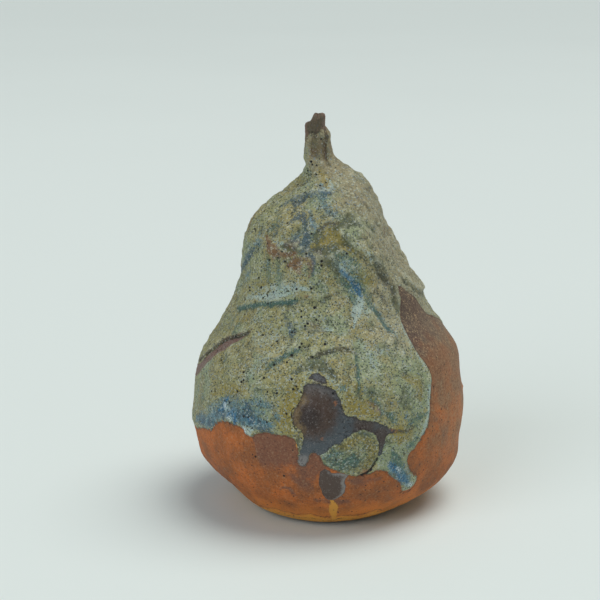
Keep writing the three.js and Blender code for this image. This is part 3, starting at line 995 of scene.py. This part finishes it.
def buildPear():
    rows, columns = heights.shape
    corners = np.concatenate([[footPole], carved.reshape(-1, 3), [tipPole]]) * mm
    ring = np.arange(columns)
    after = np.roll(ring, -1)
    quads = []
    for row in range(rows - 1):
        low = 1 + row * columns
        high = low + columns
        quads.append(np.stack([low + ring, low + after, high + after, high + ring], axis=1))
    quads = np.concatenate(quads)
    last = len(corners) - 1
    top = 1 + (rows - 1) * columns
    under = [(0, 1 + b, 1 + a) for a, b in zip(ring, after)]
    crown = [(last, top + a, top + b) for a, b in zip(ring, after)]
    mesh = bpy.data.meshes.new("pearSkin")
    mesh.from_pydata(corners.tolist(), [], quads.tolist() + under + crown)
    mesh.polygons.foreach_set("use_smooth", [True] * len(mesh.polygons))
    for name, layer in layers.items():
        ends = [layer[0].mean(), layer[-1].mean()]
        values = np.concatenate([ends[:1], layer.ravel(), ends[1:]]).astype(np.float32)
        mesh.attributes.new(name, "FLOAT", "POINT").data.foreach_set("value", values)
    unroll(mesh, rows, columns)
    body = bpy.data.objects.new("glazedPear", mesh)
    bpy.context.scene.collection.objects.link(body)
    return body


def unroll(mesh, rows, columns):
    # the skin unrolled from a seam down the back: across is the azimuth, up is the way along the outline
    steps = np.linalg.norm(np.diff(carved, axis=0), axis=2).mean(axis=1)
    run = np.concatenate([[0], np.cumsum(steps)])
    up = 0.02 + 0.96 * run / run[-1]
    across = np.append((columnTurns + math.pi) / (2 * math.pi), 1.0)
    sheet = mesh.uv_layers.new(name="OFBake")
    places = []
    for row in range(rows - 1):
        left, right = across[:-1], across[1:]
        low = np.full(columns, up[row])
        high = np.full(columns, up[row + 1])
        places.append(np.stack([left, low, right, low, right, high, left, high], axis=1))
    places = np.concatenate(places).reshape(-1, 2)
    middle = (across[:-1] + across[1:]) / 2
    under = np.stack([middle, np.zeros(columns), across[1:], np.full(columns, up[0]),
                      across[:-1], np.full(columns, up[0])], axis=1).reshape(-1, 2)
    crown = np.stack([middle, np.ones(columns), across[:-1], np.full(columns, up[-1]),
                      across[1:], np.full(columns, up[-1])], axis=1).reshape(-1, 2)
    sheet.data.foreach_set("uv", np.concatenate([places, under, crown]).ravel())


# Finishes, as they look in even light; among them are painted bounce light, painted shade and painted
# highlights.
clayTones = {
    "orange": "#bb6526",
    "brown": "#8d5125",
    "purple": "#764c39",
    "plum": "#4d4741",
    "mauve": "#8e7d74",
    "dust": "#775a4d",
    "sand": "#a59070",
    "speck": "#2b201c",
    "gold": "#d89a3c",
    "bouncedLightAmber": "#d98436",
    "darkClayAndFootShade": "#4e2f22",
    "ember": "#9a623c",
}

glazeTones = {
    "straw": "#a49a66",
    "sage": "#9aa47d",
    "lichen": "#a69b7b",
    "beige": "#a49a7b",
    "paleSpeckAndHighlight": "#d9d8ba",
    "moss": "#596b4c",
    "honey": "#a79d60",
    "ochre": "#978636",
    "darkSpeckAndShade": "#39433a",
    "umber": "#40301f",
    "olive": "#4b5233",
    "rust": "#7d5230",
    "navy": "#1f4a62",
    "cobalt": "#1c6a93",
    "sky": "#b9d0cc",
    "glint": "#dbe9ec",
    "teal": "#33655f",
    "pool": "#4a8296",
    "hole": "#14110e",
}

slateTones = {
    "slate": "#454c51",
    "umber": "#453227",
    "core": "#2a1b15",
    "rim": "#8c7449",
    "lavender": "#857f7b",
    "edge": "#1f1714",
}

# The main pinholes: azimuth, height and radius of each.
pinholes = [
    (-4.5, 96.8, 0.45), (-4.5, 95.4, 0.42), (-8.2, 81, 0.5), (-12.5, 75, 0.42), (-11.3, 75.8, 0.42),
    (-1.5, 69.6, 0.45), (-58, 98, 0.4), (-61, 91, 0.4), (-63, 83.5, 0.4), (-49.5, 85, 0.5),
    (-30, 96, 0.35), (-44.5, 95.5, 0.35), (-32, 117.5, 0.38), (-10, 119.7, 0.42), (13.4, 99, 0.38),
    (-14, 68.4, 0.42), (-17.5, 66, 0.45), (-28.5, 58, 0.4), (-7.3, 65.8, 0.38), (-25, 62.5, 0.38),
    (-40.5, 55, 0.38), (-42, 51.5, 0.4), (-14.8, 55.6, 0.36), (-30, 127.6, 0.45), (-26, 126.6, 0.38),
    (-70, 119.6, 0.42), (-60, 119.4, 0.5), (2.2, 54.6, 0.4), (-31.5, 29.5, 0.35), (-19, 23.5, 0.35),
]

finish = bpy.data.materials.new("glazedStoneware")
finish.use_nodes = True
start = Wire(finish.node_tree)


def vector(operation, sockets, out=0):
    return start.node("ShaderNodeVectorMath", {"operation": operation}, sockets, out)


place = vector("SCALE", {0: start.node("ShaderNodeTexCoord", out="Object"), "Scale": 1 / mm})
across = start.node("ShaderNodeSeparateXYZ", {}, {0: place}, out="X")
height = start.node("ShaderNodeSeparateXYZ", {}, {0: place}, out="Z")


def moved(seed, tall=1.0):
    scaled = vector("MULTIPLY", {0: place, 1: (1, 1, 1 / tall)})
    return vector("ADD", {0: scaled, 1: (seed, 2.7 * seed, seed)})


def cloud(size, seed, detail=2.0, roughness=0.5, tall=1.0):  # soft patches about 0, from -0.5 to 0.5
    sockets = {"Vector": moved(seed, tall), "Scale": 1 / size, "Detail": detail, "Roughness": roughness}
    return start.node("ShaderNodeTexNoise", {}, sockets, out=0) - 0.5


def grains(size, seed):  # one chance value from 0 to 1 for each grain
    cells = start.node("ShaderNodeTexVoronoi", {}, {"Vector": moved(seed), "Scale": 1 / size}, out="Color")
    return start.node("ShaderNodeSeparateColor", {}, {0: cells}, out="Red")


def dots(size, radius, share, seed):  # round dots in that share of the cells, 1 inside a dot
    sockets = {"Vector": moved(seed), "Scale": 1 / size}
    distance = start.node("ShaderNodeTexVoronoi", {}, sockets, out="Distance") * size
    chance = grains(size, seed)
    return (distance - radius * (0.5 + chance)).rise(0.08, -0.08) * chance.rise(1 - share, 1.02 - share)


def layer(name):
    return start.node("ShaderNodeAttribute", {"attribute_name": name}, {}, out="Fac")


def mix(share, first, second):  # each of the two is a wire, or a tone as it is written
    first, second = (tone(colour) if isinstance(colour, str) else colour for colour in (first, second))
    return start.blend(share, first, second)


def near(azimuth, level):  # distance in mm from a place on the pear
    return vector("DISTANCE", {0: place, 1: tuple(onSkin(azimuth, level, carved))}, out="Value")


broad = cloud(9.0, 31, 3.0)
drift = cloud(15.0, 47)
mottle = cloud(1.4, 59, 4.0, 0.75)
wobble = cloud(2.6, 13, 3.0, 0.6)
fine = cloud(0.45, 11, 2.0, 0.7)
runs = cloud(2.6, 67, 3.0, 0.6, 3.0)
smallGrain = grains(0.38, 3)
largeGrain = grains(0.56, 17)
speckle = cloud(0.9, 23, 2.0, 0.8)
veil = cloud(1.7, 73, 3.0, 0.7, 2.2)
crease = layer("hollow")
grit = (smallGrain - 0.5) * 0.5 + (largeGrain - 0.5) * 0.4 + fine * 0.8
rightSide = across.rise(2, 26)
leftSide = across.rise(20, -8)

raggedEdge = wobble * 2.4 + mottle * 1.8
edge = layer("glazeEdge") + raggedEdge * (1 - rightSide * height.rise(40, 60) * 0.6)
soften = 0.12 + 1.9 * rightSide * height.rise(78, 84) * across.rise(24, 32)
inGlaze = (edge / soften + grit * 0.5).rise(-1, 1)
slateLine = layer("slateEdge") + wobble * 1.6 + mottle * 1.6
inSlate = slateLine.rise(-0.08, 0.15)
dripLine = layer("dripEdge") + wobble * 0.9 + mottle * 0.9
inDrip = dripLine.rise(-0.08, 0.12)
gashLine = layer("gashEdge") + wobble * 0.8
inGash = gashLine.rise(-0.1, 0.2)


def coated(colour, tones, coats):  # each coat is how far it covers, and the name of its tone
    for share, name in coats:
        colour = mix(share, colour, tones[name])
    return colour


def bareClay():
    clay = mix((broad + mottle * 0.3 + runs * 0.3).rise(-0.2, 0.2), clayTones["orange"], clayTones["brown"])
    flamed = (layer("flash") + mottle + broad + wobble * 0.6).rise(0.0, 0.9)
    clay = mix(flamed * 0.85, clay, clayTones["purple"])
    sandy = mix((grit + mottle).rise(0.1, 0.4), clayTones["plum"], clayTones["sand"])
    sandy = mix((height + broad * 20).rise(68, 60) * 0.6, sandy, clayTones["brown"])
    high = (height + broad * 30 + across * 0.25).rise(48, 68)
    rim = height + broad * 8 + mottle * 2  # the yellow band round the foot
    grainy = grit * 0.7 + speckle * 1.5
    return coated(mix(high * 0.9, clay, sandy), clayTones, [
        ((across + broad * 24).rise(26, 48) * height.rise(14, 30) * (0.3 + speckle), "sand"),
        (grainy.rise(0.05, 0.5) * 0.45, "sand"),
        (grainy.rise(-0.05, -0.5) * 0.75, "darkClayAndFootShade"),
        ((edge + 0.3).within(0.5) * (0.5 + mottle * 1.6), "darkClayAndFootShade"),
        # painted light: lighter amber low on the flank, where light bounced off the table brightens the
        # clay
        ((height + broad * 10).rise(14, 5) * 0.6, "bouncedLightAmber"),
        ((rim + grit * 2).rise(5.8, 4.2) * (0.85 + mottle), "gold"),
        ((rim - 5.8).within(0.4) * 0.6, "darkClayAndFootShade"),
        ((rim + mottle * 2 - 3.2).within(0.3) * 0.6, "speck"),
        # painted shade: the clay darker in the lowest 2.4 mm, where the contact shadow falls at the foot
        ((height + mottle * 2).rise(2.4, 0.8) * 0.6, "darkClayAndFootShade"),
        ((layer("streak") + mottle * 0.5).rise(0.35, 0.6) * 0.85, "gold"),
        (dots(1.6, 0.22, 0.22, 41) * 0.9, "speck"),
        (dots(1.3, 0.13, 0.35, 43) * 0.7, "speck"),
    ])


washes = [  # brushwork from the first laid to the last: how far it covers, how much the grit breaks it up
    ("ochre", 0.85, 0.5),
    ("pool", 0.9, 0.8),
    ("sky", 0.8, 1.4),
    ("olive", 0.85, 0.6),
    ("teal", 0.85, 1.0),
    ("navy", 0.85, 1.4),
    ("rust", 0.85, 0.7),
    ("umber", 0.8, 0.6),
    ("cobalt", 0.95, 0.8),
    ("glint", 0.85, 0.9),
]


def washed(name, share, breakUp):
    return (layer(name) + mottle * 0.8 + grit * breakUp).rise(0.12, 0.85) * share


def ashGlaze():
    streaky = (broad + mottle * 0.4 - rightSide * 0.06).rise(-0.08, 0.1)
    yellow = (drift + leftSide * 0.08).rise(-0.04, 0.16) * (0.5 + height.rise(96, 70) * 0.25)
    dry = (across - (118 - height) * 0.85 + mottle * 8 + broad * 16).rise(-4, 9) * height.rise(74, 84)
    # more dark grains gather in the creases and more pale grains on the ridges: partly painted shade and
    # painted highlight
    paleGrains = (largeGrain - 0.8 + speckle * 0.6 + wobble * 0.8 - crease * 0.5).rise(0, 0.1)
    darkGrains = (0.24 - smallGrain - speckle - mottle * 0.4 + crease * 0.5).rise(0, 0.1)
    glazed = coated(mix(streaky, glazeTones["sage"], glazeTones["straw"]), glazeTones, [
        (yellow, "honey"),
        ((rightSide * height.rise(50, 78) + mottle).rise(0.3, 0.8) * 0.7, "lichen"),
        (dry * 0.75, "beige"),
        ((runs + leftSide * 0.03 + crease * 0.1).rise(0.06, 0.24) * 0.5, "moss"),
        (paleGrains * 0.42, "paleSpeckAndHighlight"),
        (darkGrains * (0.66 - dry * 0.34), "darkSpeckAndShade"),
        ((layer("lobeEdge") + mottle * 4).rise(-1, 3) * 0.25, "moss"),
    ])
    inks = dict(glazeTones)
    inks["pool"] = coated(mix((veil + grit * 0.2).rise(-0.16, 0.1), inks["navy"], inks["pool"]), inks, [
        ((veil + speckle * 0.4).rise(0.1, 0.3) * 0.8, "sky"),
    ])
    inks["cobalt"] = mix((veil + speckle * 0.6).rise(0.06, 0.3) * 0.8, inks["cobalt"], inks["sky"])
    glazed = coated(glazed, inks, [(washed(*wash), wash[0]) for wash in washes])
    inLobe = layer("lobeEdge").rise(-1, 1)
    broken = (mottle + wobble * 0.5).rise(-0.1, 0.12) * height.rise(80, 60)
    return coated(glazed, glazeTones, [
        # painted shade in the creases and painted highlights on the ridges, from the relief's hollows
        ((crease + mottle * 0.3).rise(0.05, 0.6) * 0.4, "darkSpeckAndShade"),
        ((crease + mottle * 0.3).rise(-0.06, -0.5) * 0.3, "paleSpeckAndHighlight"),
        ((largeGrain - 0.84 + speckle * 0.8).rise(0, 0.1) * 0.35, "paleSpeckAndHighlight"),
        ((0.18 - smallGrain - speckle * 0.8).rise(0, 0.1) * (0.7 - dry * 0.4), "darkSpeckAndShade"),
        ((0.4 - largeGrain - speckle * 1.6).rise(0, 0.1) * inLobe * 0.5, "darkSpeckAndShade"),
        ((edge - 0.25).within(0.45) * broken * 0.75, "darkSpeckAndShade"),
    ])


def pooledGlaze():
    leftRim = near(-14.4, 48).least(near(-14.8, 45)).least(near(-12.6, 41.6)).least(near(-11.4, 52))
    middle = (near(-7, 48) + mottle * 5).rise(12, 6.5)
    return coated(mix(middle, slateTones["slate"], slateTones["umber"]), slateTones, [
        ((near(-7.5, 46) + mottle * 3).rise(6, 2) * 0.9, "core"),
        ((near(22, 38).least(near(15, 43)) + mottle * 4).rise(6, 2) * 0.75, "umber"),
        ((leftRim + mottle * 5 + wobble * 3).rise(3.6, 0.4) * 0.8, "rim"),
        ((height + mottle * 5).rise(52, 56) * 0.22, "lavender"),
        ((slateLine + mottle).rise(1.2, 0.2) * height.rise(40, 46) * 0.6, "core"),
        ((height + mottle * 4).rise(34, 31) * across.rise(2, -2) * 0.7, "lavender"),
        ((slateLine - 0.15).within(0.35) * (0.6 + mottle * 2), "edge"),
        ((smallGrain - 0.86 + mottle).rise(0, 0.1) * 0.35, "lavender"),
        ((0.12 - largeGrain - mottle * 0.5).rise(0, 0.1) * 0.5, "edge"),
    ])


def fallenDrip():
    middle = (dripLine + mottle * 3 - across * 0.2).rise(-0.6, 1.0)
    return coated(mix(middle * 0.95, slateTones["lavender"], slateTones["umber"]), slateTones, [
        ((smallGrain - 0.8 + mottle).rise(0, 0.1) * 0.25, "lavender"),
        ((dripLine - 0.1).within(0.25) * 0.7, "edge"),
    ])


def pinholeGap():
    holes = None
    for azimuth, level, radius in pinholes:
        gap = near(azimuth, level) - radius
        holes = gap if holes is None else holes.least(gap)
    return holes


def stemClay(colour):  # rusty on the stem, and bare where its end is broken off
    woody = height.rise(122, 131) * (runs + speckle * 0.6).rise(-0.2, 0.15)
    colour = mix(woody * 0.36, colour, glazeTones["rust"])
    snapped = (height + mottle * 5 - across * 0.35).rise(138.2, 140)
    broken = mix((runs * 1.4 + speckle * 0.8).rise(-0.15, 0.2), glazeTones["umber"], clayTones["dust"])
    return mix(snapped * 0.8, colour, broken)


def pricked():  # 1 in a pinhole
    pricks = dots(1.7, 0.28, 0.13, 21).most(dots(1.2, 0.18, 0.14, 27)) * (0.04 + leftSide * 0.96)
    return (pricks * inGlaze * (1 - inSlate)).most(pinholeGap().rise(0.12, -0.06))


gloss = {
    "clay": 0.7,  # roughness of the bare clay
    "glaze": 0.14,  # this much smoother in the ash glaze
    "glassy": 0.22,  # and this much again where it pooled blue
    "dark": 0.24,  # this much smoother in the dark glaze and the drip
    "grit": 0.25,  # unevenness
}


def finishStoneware():
    bare = mix((grit + mottle).rise(-0.25, 0.2), clayTones["purple"], clayTones["mauve"])
    colour = mix(inGlaze, bareClay(), ashGlaze())
    colour = mix(inSlate, colour, pooledGlaze())
    colour = mix(inDrip, colour, fallenDrip())
    colour = mix(inGash, colour, bare)
    # near-black painted shade in the crevices, painted shadow under the drip, and dark lines at the pooled
    # glaze's edge
    colour = mix((layer("darkLinesAndShade") + mottle * 0.6).rise(0.35, 0.6) * 0.95, colour, slateTones["edge"])
    glowing = (layer("ember") + mottle * 1.6 + grit * 0.5).rise(0.45, 1.0)
    colour = stemClay(mix(glowing * 0.7, colour, clayTones["ember"]))
    pricks = pricked()
    colour = mix(pricks, colour, glazeTones["hole"])

    darkGlaze = inSlate.most(inDrip)
    glassy = (layer("cobalt") + layer("pool") * 0.7 + layer("sky") * 0.3).rise(0.25, 0.9) * inGlaze
    rough = gloss["clay"] - inGlaze * gloss["glaze"] + grit * gloss["grit"] - glassy * gloss["glassy"]
    rough = rough - darkGlaze * gloss["dark"]
    bumps = (mottle * 0.7 + grit * 0.25) * (0.3 + inGlaze * 0.7) * (1 - darkGlaze * 0.8) - pricks * 0.7
    sockets = {"Height": bumps * mm, "Strength": 1.0, "Distance": 1.0}
    bump = start.node("ShaderNodeBump", {}, sockets, out="Normal")

    surface = finish.node_tree.nodes["Principled BSDF"]
    for name, wire in (("Base Color", colour), ("Roughness", rough), ("Normal", bump)):
        finish.node_tree.links.new(wire.socket, surface.inputs[name])
    print("finish mixed:", len(finish.node_tree.nodes), "nodes")


finishStoneware()
body = buildPear()
body.data.materials.append(finish)
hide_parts("pear")
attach(body, "root")
print("pear built:", len(body.data.polygons), "faces")
